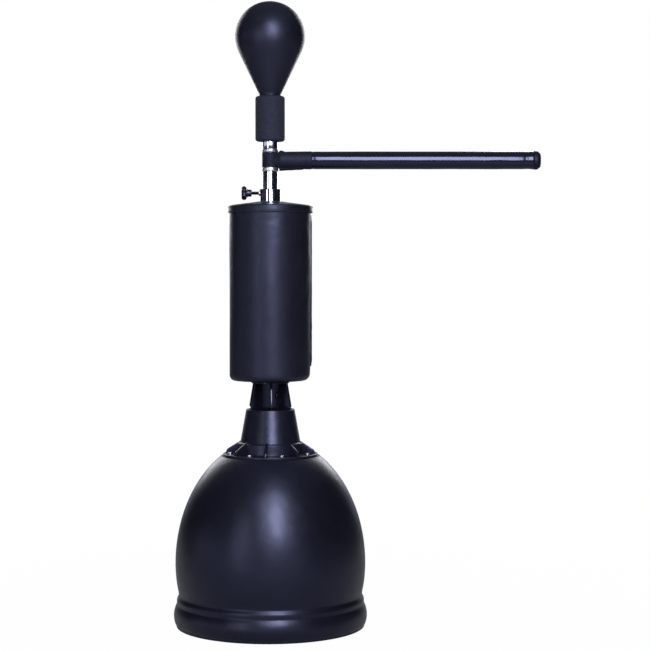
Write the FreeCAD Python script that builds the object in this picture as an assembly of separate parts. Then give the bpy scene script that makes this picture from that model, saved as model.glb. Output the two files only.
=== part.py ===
import FreeCAD, Part
import math
import os

os.makedirs("parts", exist_ok=True)

V = FreeCAD.Vector
X_AXIS, Y_AXIS, Z_AXIS = V(1, 0, 0), V(0, 1, 0), V(0, 0, 1)

# A free-standing reflex trainer, in millimetres. +Z is up and Z is the pole's axis, the floor is z = 0,
# the front faces -Y and the spinning arm points along +X. Radii are named _r, heights above the floor _z.

# Fillable base: a blow-moulded tank with a rolled foot and a domed shoulder.
foot_r, foot_z = 224.6, 7.0
roll_r, roll_z = 230.2, 27.0
bead_r, bead_low_z, bead_top_z = 223.2, 54.0, 66.0
groove_r, groove_z = 218.4, 77.0
belly_r, belly_z = 226.2, 150.0
dome_height = 300.0
deck_z = 406.0
tank_wall = 4.5
insert_r, insert_length = 5.0, 14.0
insert_boss_r, insert_boss_length = 9.0, 18.0

# Fill opening on the rear shoulder, square to the dome there, with a screwed cap.
fill_tilt = 55.0
fill_hole_r, fill_boss_r, fill_neck_r = 20.0, 33.0, 24.0
fill_boss_rise, fill_neck_depth = 2.5, 12.0
fill_seal_thickness, fill_seal_r, cap_gap = 2.0, 26.5, 0.1
fill_cap_r, fill_cap_height = 29.0, 7.0
fill_grip_height, fill_grip_width = 7.0, 9.0

# Socket moulding screwed to the deck: a round flange, eight gussets and a tapered tube.
flange_r, flange_thickness = 112.5, 6.0
socket_top_z, socket_top_r = 517.0, 57.5
socket_taper = 0.177
socket_wall = 3.4
sleeve_r, sleeve_wall = 53.2, 3.0
ledge_r, ledge_height = 77.0, 12.0
gusset_count, gusset_thickness, gusset_phase = 8, 6.5, -5.0
gusset_inner_z, gusset_outer_r, gusset_outer_z = 443.0, 104.0, 421.0
screw_count, screw_pitch_r, screw_phase = 8, 99.0, 17.5
screw_r, screw_head_r, screw_head_height = 2.5, 5.5, 3.4
washer_r, washer_thickness = 7.0, 1.2

# Finned plug that stands in the socket and carries the column.
plug_top_z, plug_top_r = 583.0, 45.0
plug_skirt_z, plug_skirt_r = 524.0, 55.5
plug_chamfer = 5.0
plug_plate_thickness = 4.0
hub_r, fin_count, fin_thickness, fin_phase = 28.2, 6, 6.0, 8.0
cross_bolt_z, cross_bolt_r, cross_bolt_angle = 550.0, 4.0, 38.0

# Telescopic pole.
outer_tube_r, outer_tube_bore_r = 25.0, 23.0
outer_tube_low_z, outer_tube_top_z = 417.0, 1037.5
inner_tube_r, inner_tube_bore_r = 18.0, 16.2
inner_tube_low_z, inner_tube_top_z = 655.0, 1082.0
running_gap = 0.08
guide_length, guide_lip = 50.0, 1.0
glide_length = 30.0

# Punch bag round the pole.
bag_r, bag_low_z, bag_rim_z, bag_crown_z = 98.5, 583.5, 1003.0, 1011.0
bag_skin, bag_low_round, bag_rim_round = 1.5, 16.0, 5.0
bag_hole_r, liner_r, liner_bore_r = 31.5, 30.0, 25.4
hem_height, hem_proud = 22.0, 1.3
closure_angle, closure_span, closure_proud = 102.0, 24.0, 2.0
closure_low_z, closure_top_z = 603.0, 978.0

# Clamp screw with a star knob, on the -X side of the outer tube.
clamp_z = 1029.5
clamp_screw_r, clamp_tip_r, clamp_pin_r = 4.0, 3.8, 1.8
clamp_tip_length, clamp_tip_gap = 2.1, 0.15
knob_inner_x, knob_hub_x, knob_outer_x = -44.0, -56.0, -68.0
knob_hub_r, knob_disc_r, knob_lobe_r, knob_lobe_pitch_r, knob_lobes = 8.3, 13.0, 4.5, 12.0, 6
insert_flange_r, insert_flange_thickness, insert_body_r = 7.0, 1.4, 5.5

# Spinning arm on its spindle between two chrome retaining rings.
ring_r, lower_ring_z, upper_ring_z = 19.5, 1080.5, 1126.0
lower_ring_height, upper_ring_height = 10.0, 8.0
spindle_r, spindle_low_z = 14.0, 1050.0
hub_sleeve_r, hub_sleeve_bore_r = 18.0, 16.0
hub_low_z, hub_top_z = 1091.0, 1125.5
bush_length, bush_flange = 13.0, 1.0
arm_z, arm_end_x = 1107.0, 640.0
arm_rod_r, arm_rod_bore_r, arm_rod_end_x = 11.0, 9.4, 618.0
arm_foam_r, arm_foam_start_x = 20.3, 34.0
arm_cover_r, arm_cover_start_x = 21.8, 97.0
arm_cap_x, arm_cap_chamfer = 624.0, 3.5
wrap_r, wrap_neck_r, wrap_sleeve_r, wrap_start_x = 19.2, 15.5, 21.4, 22.0
flap_height, flap_end_x = 48.0, 36.0

# Sprung neck and pear-shaped ball.
neck_tube_low_z, neck_tube_top_z = 1134.0, 1160.0
spring_low_z, spring_top_z = 1163.0, 1246.0
spring_mean_r, spring_wire_r, spring_turns = 15.0, 2.2, 15
spring_gap = 0.3
spigot_r, spigot_length, seat_flange_r, seat_flange = 12.4, 20.0, 17.8, 3.0
sleeve_low_z, sleeve_top_z, grip_r, grip_round = 1151.5, 1258.5, 35.0, 5.0
ball_r, ball_z, ball_cone_half_angle, ball_neck_z = 82.6, 1399.0, 25.9, 1259.0
ball_skin, bladder_gap, bladder_skin = 2.0, 0.3, 1.5
stud_r, stud_top_z = 5.0, 1284.0
neck_plug_top_z = 1290.0
valve_r, valve_tilt = 4.5, 40.0


def save(name, shape):
    """Write one sub-part, after merging faces that only a boolean split."""
    shape = shape.removeSplitter()
    shape.exportStep("parts/" + name + ".step")


def around(radius, angle, z=0.0):
    """A place at a radius and an angle in degrees from the front, growing towards +X."""
    turn = math.radians(angle)
    return V(radius * math.sin(turn), -radius * math.cos(turn), z)


def point(radius, z):
    """A place in the XZ half-plane that the turned outlines are drawn in."""
    return V(radius, 0, z)


def line(a, b):
    return Part.LineSegment(point(*a), point(*b)).toShape()


def arc(a, through, b):
    return Part.Arc(point(*a), point(*through), point(*b)).toShape()


def path(*places):
    """Straight edges from each place to the next."""
    return [line(a, b) for a, b in zip(places, places[1:])]


def turned(edges):
    """Spin a closed outline about the pole's axis."""
    wire = Part.Wire(Part.__sortEdges__(edges))
    return Part.Face(wire).revolve(V(), Z_AXIS, 360)


def turned_polygon(*places):
    return turned(path(*places, places[0]))


def rod(radius, start, end):
    """A round bar from one point to another."""
    way = end - start
    return Part.makeCylinder(radius, way.Length, start, way)


def tube(radius, bore, start, end):
    way = end - start
    reach = way.normalize() * 1.0
    return rod(radius, start, end).cut(rod(bore, start - reach, end + reach))


def upright_tube(radius, bore, low, top):
    return tube(radius, bore, V(0, 0, low), V(0, 0, top))


def fused(shapes):
    return shapes[0].multiFuse(shapes[1:]) if len(shapes) > 1 else shapes[0]


def ring_of(shape, count, phase):
    """Copies of a shape drawn at the front (-Y), turned about the pole's axis."""
    copies = []
    for index in range(count):
        copy = shape.copy()
        copy.rotate(V(), Z_AXIS, phase + index * 360.0 / count)
        copies.append(copy)
    return copies


def front_plate(outline, thickness):
    """A flat plate in the plane through the axis at the front, from (radius, z) places."""
    corners = [V(-thickness / 2, -radius, z) for radius, z in outline]
    face = Part.Face(Part.makePolygon(corners + corners[:1]))
    return face.extrude(V(thickness, 0, 0))


# ---- fillable base ----


def dome_radius(z, inset=0.0):
    """Radius of the elliptical shoulder at a height."""
    return (belly_r - inset) * math.sqrt(1 - ((z - belly_z) / (dome_height - inset)) ** 2)


def dome_arc(top_z, inset=0.0):
    """The shoulder's ellipse from the belly up to a height."""
    tall, wide = dome_height - inset, belly_r - inset
    ellipse = Part.Ellipse(point(0, belly_z + tall), point(wide, belly_z), point(0, belly_z))
    start = math.acos((top_z - belly_z) / tall)
    return Part.ArcOfEllipse(ellipse, start, math.pi / 2).toShape()


fill_slope = math.atan(dome_height / belly_r / math.tan(math.radians(fill_tilt)))
fill_axis = V(0, math.sin(math.radians(fill_tilt)), math.cos(math.radians(fill_tilt)))
fill_place = V(0, belly_r * math.cos(fill_slope), belly_z + dome_height * math.sin(fill_slope))


def on_fill_axis(distance):
    return fill_place + fill_axis * distance


def tank_outside():
    foot_round = 2.0
    edges = path((0, 0), (foot_r - foot_round, 0))
    edges += path((foot_r - foot_round, 0), (foot_r, foot_round), (foot_r, foot_z))
    edges.append(arc((foot_r, foot_z), (roll_r, roll_z), (bead_r, bead_low_z)))
    edges += path((bead_r, bead_low_z), (bead_r - 0.6, bead_top_z))
    groove_lip = (groove_r + 0.9, groove_z - 4.0)
    edges.append(arc((bead_r - 0.6, bead_top_z), (bead_r - 1.6, bead_top_z + 4.0), groove_lip))
    edges.append(arc(groove_lip, (groove_r, groove_z), (groove_r + 0.5, groove_z + 4.0)))
    shoulder_low = (groove_r + 0.5, groove_z + 4.0)
    edges.append(arc(shoulder_low, (belly_r - 1.9, belly_z - 36.0), (belly_r, belly_z)))
    edges.append(dome_arc(deck_z))
    edges += path((dome_radius(deck_z), deck_z), (0, deck_z), (0, 0))
    return turned(edges)


def tank_inside():
    wall_r = groove_r - tank_wall
    ceiling = deck_z - tank_wall
    edges = path((0, tank_wall), (wall_r, tank_wall), (wall_r, groove_z))
    middle = ((wall_r + belly_r - tank_wall) / 2 + 2.0, (groove_z + belly_z) / 2)
    edges.append(arc((wall_r, groove_z), middle, (belly_r - tank_wall, belly_z)))
    edges.append(dome_arc(ceiling, tank_wall))
    edges += path((dome_radius(ceiling, tank_wall), ceiling), (0, ceiling), (0, tank_wall))
    return turned(edges)


def base_shell():
    outside = tank_outside().fuse(rod(fill_boss_r, on_fill_axis(-9), on_fill_axis(fill_boss_rise)))
    shell = outside.cut(tank_inside())
    neck = rod(fill_neck_r, on_fill_axis(-fill_neck_depth), on_fill_axis(0))
    boss = rod(insert_boss_r, around(screw_pitch_r, 0, deck_z - insert_boss_length),
               around(screw_pitch_r, 0, deck_z - 1))
    shell = fused([shell, neck] + ring_of(boss, screw_count, screw_phase))
    pocket = rod(insert_r, around(screw_pitch_r, 0, deck_z - insert_length),
                 around(screw_pitch_r, 0, deck_z + 1))
    for hole in ring_of(pocket, screw_count, screw_phase):
        shell = shell.cut(hole)
    return shell.cut(rod(fill_hole_r, on_fill_axis(-30), on_fill_axis(10)))


def thread_inserts():
    insert = tube(insert_r, screw_r, around(screw_pitch_r, 0, deck_z - insert_length),
                  around(screw_pitch_r, 0, deck_z - 0.1))
    return Part.makeCompound(ring_of(insert, screw_count, screw_phase))


seal_low = fill_boss_rise + 0.1
cap_low = seal_low + fill_seal_thickness + cap_gap


def fill_seal():
    return tube(fill_seal_r, fill_hole_r + 0.5, on_fill_axis(seal_low),
                on_fill_axis(seal_low + fill_seal_thickness))


def fill_cap():
    top = cap_low + fill_cap_height
    disc = rod(fill_cap_r, on_fill_axis(cap_low), on_fill_axis(top))
    rim = [edge for edge in disc.Edges if abs(edge.CenterOfMass.sub(on_fill_axis(top)).Length) < 0.01]
    disc = disc.makeFillet(2.0, rim)
    spigot_low = fill_boss_rise - fill_neck_depth
    spigot = tube(fill_hole_r - running_gap, fill_hole_r - 3.0,
                  on_fill_axis(spigot_low), on_fill_axis(cap_low + 1))
    grip = Part.makeBox(2 * fill_cap_r - 12, fill_grip_width, fill_grip_height)
    grip.translate(V(6 - fill_cap_r, -fill_grip_width / 2, 0))
    grip.rotate(V(), X_AXIS, -fill_tilt)
    grip.translate(on_fill_axis(top - 1))
    return fused([disc, spigot, grip])


# ---- socket moulding, its screws and the finned plug ----


def socket_radius(z):
    return socket_top_r + (socket_top_z - z) * socket_taper


def base_socket():
    flange_top = deck_z + flange_thickness
    ledge_top = flange_top + ledge_height
    plate = turned_polygon((sleeve_r, deck_z), (flange_r, deck_z), (flange_r, flange_top - 1.5),
                           (flange_r - 1.5, flange_top), (sleeve_r, flange_top))
    ledge = turned_polygon((socket_radius(ledge_top) - socket_wall, flange_top - 1),
                           (ledge_r, flange_top - 1), (ledge_r, ledge_top - 1.5),
                           (ledge_r - 1.5, ledge_top), (socket_radius(ledge_top) - socket_wall, ledge_top))
    wall = turned_polygon((socket_radius(flange_top - 1) - socket_wall, flange_top - 1),
                          (socket_radius(flange_top - 1), flange_top - 1),
                          (socket_top_r, socket_top_z - 1), (socket_top_r - 1, socket_top_z),
                          (socket_top_r - socket_wall, socket_top_z))
    sleeve = upright_tube(sleeve_r + sleeve_wall, sleeve_r, flange_top - 1, socket_top_z - 2)
    gusset = front_plate([(socket_radius(gusset_inner_z) - 1.5, gusset_inner_z),
                          (gusset_outer_r, gusset_outer_z), (gusset_outer_r + 3.5, flange_top - 0.5),
                          (socket_radius(flange_top) - 1.5, flange_top - 0.5)], gusset_thickness)
    body = fused([plate, ledge, wall, sleeve] + ring_of(gusset, gusset_count, gusset_phase))
    hole = rod(screw_r + 0.4, around(screw_pitch_r, 0, deck_z - 1), around(screw_pitch_r, 0, flange_top + 1))
    for cutter in ring_of(hole, screw_count, screw_phase):
        body = body.cut(cutter)
    return body


def flange_washers():
    low = deck_z + flange_thickness
    washer = tube(washer_r, screw_r + 0.3, around(screw_pitch_r, 0, low),
                  around(screw_pitch_r, 0, low + washer_thickness))
    return Part.makeCompound(ring_of(washer, screw_count, screw_phase))


def flange_screws():
    seat = deck_z + flange_thickness + washer_thickness
    shank = rod(screw_r - 0.05, around(screw_pitch_r, 0, seat - 17), around(screw_pitch_r, 0, seat + 1))
    head = rod(screw_head_r, around(screw_pitch_r, 0, seat), around(screw_pitch_r, 0, seat + screw_head_height))
    crown = head.Edges[0] if head.Edges[0].CenterOfMass.z > seat + 1 else head.Edges[2]
    head = head.makeFillet(1.6, [crown])
    slots = []
    for length, width in ((6.0, 1.2), (1.2, 6.0)):
        slot = Part.makeBox(length, width, 3)
        slot.translate(around(screw_pitch_r, 0, seat + screw_head_height - 1.6) - V(length / 2, width / 2, 0))
        slots.append(slot)
    screw = shank.fuse(head).cut(fused(slots))
    return Part.makeCompound(ring_of(screw, screw_count, screw_phase))


cross_bolt_way = around(1, cross_bolt_angle)


def on_cross_bolt(distance):
    return V(0, 0, cross_bolt_z) + cross_bolt_way * distance


def column_plug():
    foot_low = deck_z + 0.5
    foot_top = foot_low + plug_plate_thickness
    foot_r = sleeve_r - 1.2
    hub = upright_tube(hub_r, outer_tube_r + 0.15, foot_top - 1, plug_top_z)
    cap_plate = upright_tube(plug_top_r, outer_tube_r + 0.15, plug_top_z - plug_plate_thickness, plug_top_z)
    foot_plate = rod(foot_r, V(0, 0, foot_low), V(0, 0, foot_top))
    inner_r = hub_r - 1
    fin = front_plate([(inner_r, plug_top_z - 1), (plug_top_r, plug_top_z - 1),
                       (plug_skirt_r, plug_skirt_z), (sleeve_r - 0.9, plug_skirt_z - plug_chamfer),
                       (sleeve_r - 0.9, socket_top_z - 1), (foot_r, foot_top - 1),
                       (inner_r, foot_top - 1)], fin_thickness)
    body = fused([hub, cap_plate, foot_plate] + ring_of(fin, fin_count, fin_phase))
    return body.cut(rod(cross_bolt_r + 0.1, on_cross_bolt(-40), on_cross_bolt(40)))


def hexagon(across_flats, start, end):
    """A six-sided bar between two points."""
    way = end - start
    side = Part.makePolygon([V(across_flats / math.sqrt(3) * math.cos(math.radians(60 * k)),
                               across_flats / math.sqrt(3) * math.sin(math.radians(60 * k)), 0)
                             for k in range(7)])
    bar = Part.Face(side).extrude(V(0, 0, way.Length))
    bar.Placement = FreeCAD.Placement(start, FreeCAD.Rotation(Z_AXIS, way))
    return bar


def cross_bolt():
    head = rod(7.0, on_cross_bolt(hub_r), on_cross_bolt(hub_r + 4))
    domed = head.makeFillet(2.4, [max(head.Edges, key=lambda e: e.CenterOfMass.dot(cross_bolt_way))])
    shank = rod(cross_bolt_r - 0.05, on_cross_bolt(-hub_r - 9), on_cross_bolt(hub_r + 1))
    return shank.fuse(domed)


def cross_nut():
    return hexagon(13.0, on_cross_bolt(-hub_r - 6.5), on_cross_bolt(-hub_r)).cut(
        rod(cross_bolt_r, on_cross_bolt(-hub_r - 8), on_cross_bolt(-hub_r + 1)))


# ---- telescopic pole and its clamp ----


def on_clamp_axis(x):
    return V(x, 0, clamp_z)


def outer_tube():
    body = upright_tube(outer_tube_r, outer_tube_bore_r, outer_tube_low_z, outer_tube_top_z)
    body = body.cut(rod(cross_bolt_r + 0.1, on_cross_bolt(-40), on_cross_bolt(40)))
    return body.cut(rod(insert_body_r, on_clamp_axis(-30), on_clamp_axis(-outer_tube_bore_r + 3)))


def guide_bush():
    body = upright_tube(outer_tube_bore_r, inner_tube_r + running_gap,
                        outer_tube_top_z - guide_length, outer_tube_top_z)
    body = body.fuse(upright_tube(outer_tube_r, inner_tube_r + running_gap,
                                  outer_tube_top_z, outer_tube_top_z + guide_lip))
    body = body.cut(rod(insert_body_r, on_clamp_axis(-30), on_clamp_axis(-outer_tube_bore_r + 2)))
    return body.cut(rod(clamp_screw_r + 0.1, on_clamp_axis(-30), on_clamp_axis(-inner_tube_r + 2)))


def clamp_insert():
    inner = -outer_tube_bore_r + 2
    flange_start = -math.sqrt(outer_tube_r**2 - insert_flange_r**2)
    flange = rod(insert_flange_r, on_clamp_axis(-outer_tube_r - insert_flange_thickness),
                 on_clamp_axis(flange_start))
    flange = flange.cut(rod(outer_tube_r, V(0, 0, clamp_z - 20), V(0, 0, clamp_z + 20)))
    body = rod(insert_body_r, on_clamp_axis(-outer_tube_r - 1), on_clamp_axis(inner))
    return flange.fuse(body).cut(rod(clamp_screw_r + 0.05, on_clamp_axis(-40), on_clamp_axis(0)))


tip_x = -inner_tube_r - clamp_tip_gap
tip_back_x = tip_x - clamp_tip_length


def clamp_tip():
    button = rod(clamp_tip_r, on_clamp_axis(tip_back_x), on_clamp_axis(tip_x))
    return button.fuse(rod(clamp_pin_r, on_clamp_axis(tip_back_x - 4), on_clamp_axis(tip_x - 1)))


def clamp_screw():
    body = rod(clamp_screw_r, on_clamp_axis(knob_hub_x - 4), on_clamp_axis(tip_back_x - 0.1))
    return body.cut(rod(clamp_pin_r + 0.08, on_clamp_axis(tip_back_x - 4.5), on_clamp_axis(0)))


def star_knob():
    disc = rod(knob_disc_r, on_clamp_axis(knob_outer_x), on_clamp_axis(knob_hub_x))
    lobes = []
    for index in range(knob_lobes):
        angle = math.radians(360.0 / knob_lobes * index)
        shift = V(0, knob_lobe_pitch_r * math.cos(angle), knob_lobe_pitch_r * math.sin(angle))
        start = on_clamp_axis(knob_outer_x + 1) + shift
        lobes.append(rod(knob_lobe_r, start, on_clamp_axis(knob_hub_x - 1) + shift))
    hub = rod(knob_hub_r, on_clamp_axis(knob_hub_x - 1), on_clamp_axis(knob_inner_x))
    body = fused([disc, hub] + lobes)
    return body.cut(rod(clamp_screw_r, on_clamp_axis(knob_hub_x - 4), on_clamp_axis(0)))


def inner_tube():
    return upright_tube(inner_tube_r, inner_tube_bore_r, inner_tube_low_z, inner_tube_top_z)


def tube_glide():
    ring = upright_tube(outer_tube_bore_r - running_gap, inner_tube_r,
                        inner_tube_low_z, inner_tube_low_z + glide_length)
    return ring.fuse(upright_tube(outer_tube_bore_r - running_gap, inner_tube_bore_r,
                                  inner_tube_low_z - 2, inner_tube_low_z))


# ---- punch bag ----


def bag_outline(inset, hole):
    """Closed outline of the bag's round body, its skin's outside at inset 0."""
    radius, low, rim = bag_r - inset, bag_low_z + inset, bag_rim_z - inset
    low_round, rim_round = bag_low_round - inset, bag_rim_round - inset
    crown_slope = (bag_crown_z - bag_rim_z) / (bag_r - bag_rim_round - liner_r)
    crown = rim + (radius - rim_round - hole) * crown_slope
    slant = math.sqrt(0.5)
    low_mid = (radius - low_round + low_round * slant, low + low_round - low_round * slant)
    rim_mid = (radius - rim_round + rim_round * slant, rim - rim_round + rim_round * slant)
    edges = path((hole, low), (radius - low_round, low))
    edges.append(arc((radius - low_round, low), low_mid, (radius, low + low_round)))
    edges += path((radius, low + low_round), (radius, rim - rim_round))
    edges.append(arc((radius, rim - rim_round), rim_mid, (radius - rim_round, rim)))
    return edges + path((radius - rim_round, rim), (hole, crown), (hole, low))


def bag_foam():
    return turned(bag_outline(bag_skin + 0.1, liner_r + 0.1))


def bag_liner():
    return upright_tube(liner_r, liner_bore_r, bag_low_z + 0.5, bag_crown_z - 1.5)


def bag_cover():
    skin = turned(bag_outline(0.0, bag_hole_r)).cut(turned(bag_outline(bag_skin, bag_hole_r - 5)))
    hem = upright_tube(bag_r + hem_proud, bag_r - 0.7, bag_rim_z - hem_height, bag_rim_z - 4)
    return skin.fuse(hem)


def bag_closure():
    """The flap that laps over the cover's lengthwise opening."""
    band = upright_tube(bag_r + closure_proud, bag_r + 0.1, closure_low_z, closure_top_z)
    half = math.radians(closure_span / 2)
    reach = 140.0
    wedge = Part.Face(Part.makePolygon([V(), V(-reach * math.tan(half), -reach, 0),
                                        V(reach * math.tan(half), -reach, 0), V()]))
    wedge.translate(V(0, 0, closure_low_z - 1))
    wedge = wedge.extrude(V(0, 0, closure_top_z - closure_low_z + 2))
    wedge.rotate(V(), Z_AXIS, closure_angle)
    return band.common(wedge)


# ---- spinning arm ----


def on_arm_axis(x):
    return V(x, 0, arm_z)


def spindle():
    """Turned bar that joins the two chrome tubes and carries the arm's hub."""
    tail = rod(inner_tube_bore_r - 0.05, V(0, 0, spindle_low_z), V(0, 0, inner_tube_top_z - 1))
    bearing = rod(spindle_r, V(0, 0, spindle_low_z), V(0, 0, neck_tube_top_z - 4))
    head = rod(inner_tube_bore_r - 0.05, V(0, 0, neck_tube_low_z), V(0, 0, neck_tube_low_z + 10))
    return fused([tail, bearing, head])


def retaining_ring(low, height, bore):
    return turned_polygon((bore, low), (ring_r - 0.6, low), (ring_r, low + 0.6), (ring_r, low + height - 0.6),
                          (ring_r - 0.6, low + height), (bore, low + height))


def set_screw_axis(low, height, radius):
    return V(0, radius, low + height / 2)


def lower_ring():
    ring = retaining_ring(lower_ring_z, lower_ring_height, spindle_r)
    ring = ring.cut(rod(inner_tube_r, V(0, 0, lower_ring_z - 1), V(0, 0, inner_tube_top_z)))
    return ring.cut(rod(2.0, set_screw_axis(lower_ring_z + 1.5, lower_ring_height, 10),
                        set_screw_axis(lower_ring_z + 1.5, lower_ring_height, 30)))


def upper_ring():
    ring = retaining_ring(upper_ring_z, upper_ring_height, spindle_r)
    return ring.cut(rod(2.0, set_screw_axis(upper_ring_z, upper_ring_height, 10),
                        set_screw_axis(upper_ring_z, upper_ring_height, 30)))


def ring_set_screws():
    screws = []
    for low, height in ((lower_ring_z + 1.5, lower_ring_height), (upper_ring_z, upper_ring_height)):
        body = rod(2.0, set_screw_axis(low, height, spindle_r), set_screw_axis(low, height, ring_r - 0.4))
        socket = hexagon(2.0, set_screw_axis(low, height, ring_r - 2.2), set_screw_axis(low, height, ring_r))
        screws.append(body.cut(socket))
    return Part.makeCompound(screws)


def hub_bush(flange_low, barrel_low):
    bore = spindle_r + running_gap
    barrel = upright_tube(hub_sleeve_bore_r, bore, barrel_low, barrel_low + bush_length)
    return barrel.fuse(upright_tube(hub_sleeve_r, bore, flange_low, flange_low + bush_flange))


def arm_hub():
    return upright_tube(hub_sleeve_r, hub_sleeve_bore_r, hub_low_z + bush_flange, hub_top_z - bush_flange)


def arm_rod():
    body = tube(arm_rod_r, arm_rod_bore_r, on_arm_axis(0), on_arm_axis(arm_rod_end_x))
    return body.cut(rod(hub_sleeve_r, V(0, 0, arm_z - 40), V(0, 0, arm_z + 40)))


def arm_foam():
    return tube(arm_foam_r, arm_rod_r, on_arm_axis(arm_foam_start_x), on_arm_axis(arm_cap_x))


def arm_cover():
    return tube(arm_cover_r, arm_foam_r, on_arm_axis(arm_cover_start_x), on_arm_axis(arm_cap_x))


def arm_end_cap():
    plug = rod(arm_rod_bore_r, on_arm_axis(arm_rod_end_x - 20), on_arm_axis(arm_cap_x + 1))
    disc = rod(arm_cover_r - 0.2, on_arm_axis(arm_cap_x), on_arm_axis(arm_end_x))
    rim = max(disc.Edges, key=lambda e: e.CenterOfMass.x)
    return disc.makeChamfer(arm_cap_chamfer, [rim]).fuse(plug)


def arm_wrap():
    """Webbing that goes round the hub and is sewn into a sleeve over the start of the foam."""
    band = upright_tube(wrap_r, hub_sleeve_r, hub_low_z, hub_top_z)
    sleeve = tube(wrap_sleeve_r, arm_foam_r, on_arm_axis(wrap_start_x + 8), on_arm_axis(arm_cover_start_x))
    neck_start_x, neck_end_x = wrap_r - 1.2, arm_foam_start_x - 0.5
    neck = Part.makeCone(wrap_neck_r, wrap_sleeve_r, neck_end_x - neck_start_x,
                         on_arm_axis(neck_start_x), X_AXIS)
    neck = neck.cut(rod(wrap_r - 0.5, V(0, 0, arm_z - 40), V(0, 0, arm_z + 40)))
    flap = Part.makeBox(flap_end_x - wrap_start_x, 5.0, flap_height)
    flap.translate(V(wrap_start_x, -2.5, arm_z - flap_height / 2))
    body = fused([band, neck, sleeve, flap.cut(rod(arm_foam_r, on_arm_axis(0), on_arm_axis(60)))])
    return body.cut(rod(arm_rod_r, on_arm_axis(0), on_arm_axis(60)))


# ---- sprung neck and ball ----


def neck_tube():
    return upright_tube(inner_tube_r, inner_tube_bore_r, neck_tube_low_z, neck_tube_top_z)


def lower_spring_seat():
    plug = rod(inner_tube_bore_r - 0.05, V(0, 0, neck_tube_top_z - 4), V(0, 0, neck_tube_top_z))
    flange = rod(seat_flange_r, V(0, 0, neck_tube_top_z), V(0, 0, spring_low_z))
    spigot = rod(spigot_r, V(0, 0, spring_low_z - 1), V(0, 0, spring_low_z + spigot_length))
    return fused([plug, flange, spigot])


def upper_spring_seat():
    flange = rod(seat_flange_r, V(0, 0, spring_top_z), V(0, 0, spring_top_z + seat_flange))
    spigot = rod(spigot_r, V(0, 0, spring_top_z - spigot_length), V(0, 0, spring_top_z + 1))
    return flange.fuse(spigot).cut(rod(stud_r, V(0, 0, spring_top_z - 12), V(0, 0, spring_top_z + 10)))


def ball_spring():
    length = spring_top_z - spring_low_z - 2 * spring_gap - 2 * spring_wire_r
    start_z = spring_low_z + spring_gap + spring_wire_r
    helix = Part.makeHelix(length / spring_turns, length, spring_mean_r)
    helix.translate(V(0, 0, start_z))
    section = Part.Wire(Part.makeCircle(spring_wire_r, V(spring_mean_r, 0, start_z), Y_AXIS))
    return Part.Wire(helix.Edges).makePipeShell([section], True, True)


def foam_grip():
    bore = inner_tube_r + 0.4
    mid = grip_round * math.sqrt(0.5)
    edges = path((bore, sleeve_low_z), (grip_r - grip_round, sleeve_low_z))
    edges.append(arc((grip_r - grip_round, sleeve_low_z),
                     (grip_r - grip_round + mid, sleeve_low_z + grip_round - mid),
                     (grip_r, sleeve_low_z + grip_round)))
    edges += path((grip_r, sleeve_low_z + grip_round), (grip_r, sleeve_top_z - grip_round))
    edges.append(arc((grip_r, sleeve_top_z - grip_round),
                     (grip_r - grip_round + mid, sleeve_top_z - grip_round + mid),
                     (grip_r - grip_round, sleeve_top_z)))
    return turned(edges + path((grip_r - grip_round, sleeve_top_z), (bore, sleeve_top_z), (bore, sleeve_low_z)))


def pear(inset, low):
    """A ball and the cone that touches it, cut off level at the neck and drawn in by an inset."""
    radius = ball_r - inset
    slope = math.radians(ball_cone_half_angle)
    apex_z = ball_z - radius / math.sin(slope)
    touch = (radius * math.cos(slope), ball_z - radius * math.sin(slope))
    neck = ((low - apex_z) * math.tan(slope), low)
    side = (radius * math.cos(math.radians(35)), ball_z + radius * math.sin(math.radians(35)))
    edges = path((0, low), neck, touch)
    edges.append(arc(touch, side, (0, ball_z + radius)))
    return turned(edges + path((0, ball_z + radius), (0, low)))


valve_way = V(0, math.sin(math.radians(valve_tilt)), math.cos(math.radians(valve_tilt)))


def on_valve(distance):
    return V(0, 0, ball_z) + valve_way * distance


def ball_cover():
    skin = pear(0.0, ball_neck_z).cut(pear(ball_skin, ball_neck_z - 5))
    floor = turned_polygon((stud_r + 0.5, ball_neck_z), (20.0, ball_neck_z), (20.8, ball_neck_z + ball_skin),
                           (stud_r + 0.5, ball_neck_z + ball_skin))
    lip = turned_polygon((19.0, ball_neck_z), (22.5, ball_neck_z), (23.4, ball_neck_z + ball_skin),
                         (19.0, ball_neck_z + ball_skin))
    return fused([skin, floor, lip]).cut(rod(valve_r, on_valve(ball_r - 10), on_valve(ball_r + 5)))


def ball_bladder():
    outer = ball_skin + bladder_gap
    skin = pear(outer, neck_plug_top_z + 1).cut(pear(outer + bladder_skin, neck_plug_top_z + 1 + bladder_skin))
    return skin.cut(rod(valve_r - 1.0, on_valve(ball_r - 12), on_valve(ball_r + 5)))


def ball_valve():
    return fused([rod(valve_r, on_valve(ball_r - ball_skin), on_valve(ball_r)),
                  rod(valve_r - 1.0, on_valve(ball_r - 14), on_valve(ball_r - 1))])


def neck_plug():
    body = pear(ball_skin + 0.1, ball_neck_z + ball_skin)
    top = rod(100, V(0, 0, neck_plug_top_z), V(0, 0, 1600))
    return body.cut(top).cut(rod(stud_r, V(0, 0, 1200), V(0, 0, stud_top_z + 2)))


def ball_stud():
    low = spring_top_z - 11
    nut_low = spring_top_z + seat_flange
    shank = rod(stud_r, V(0, 0, low), V(0, 0, stud_top_z))
    return shank.fuse(hexagon(17.0, V(0, 0, nut_low), V(0, 0, nut_low + 8)))


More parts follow.
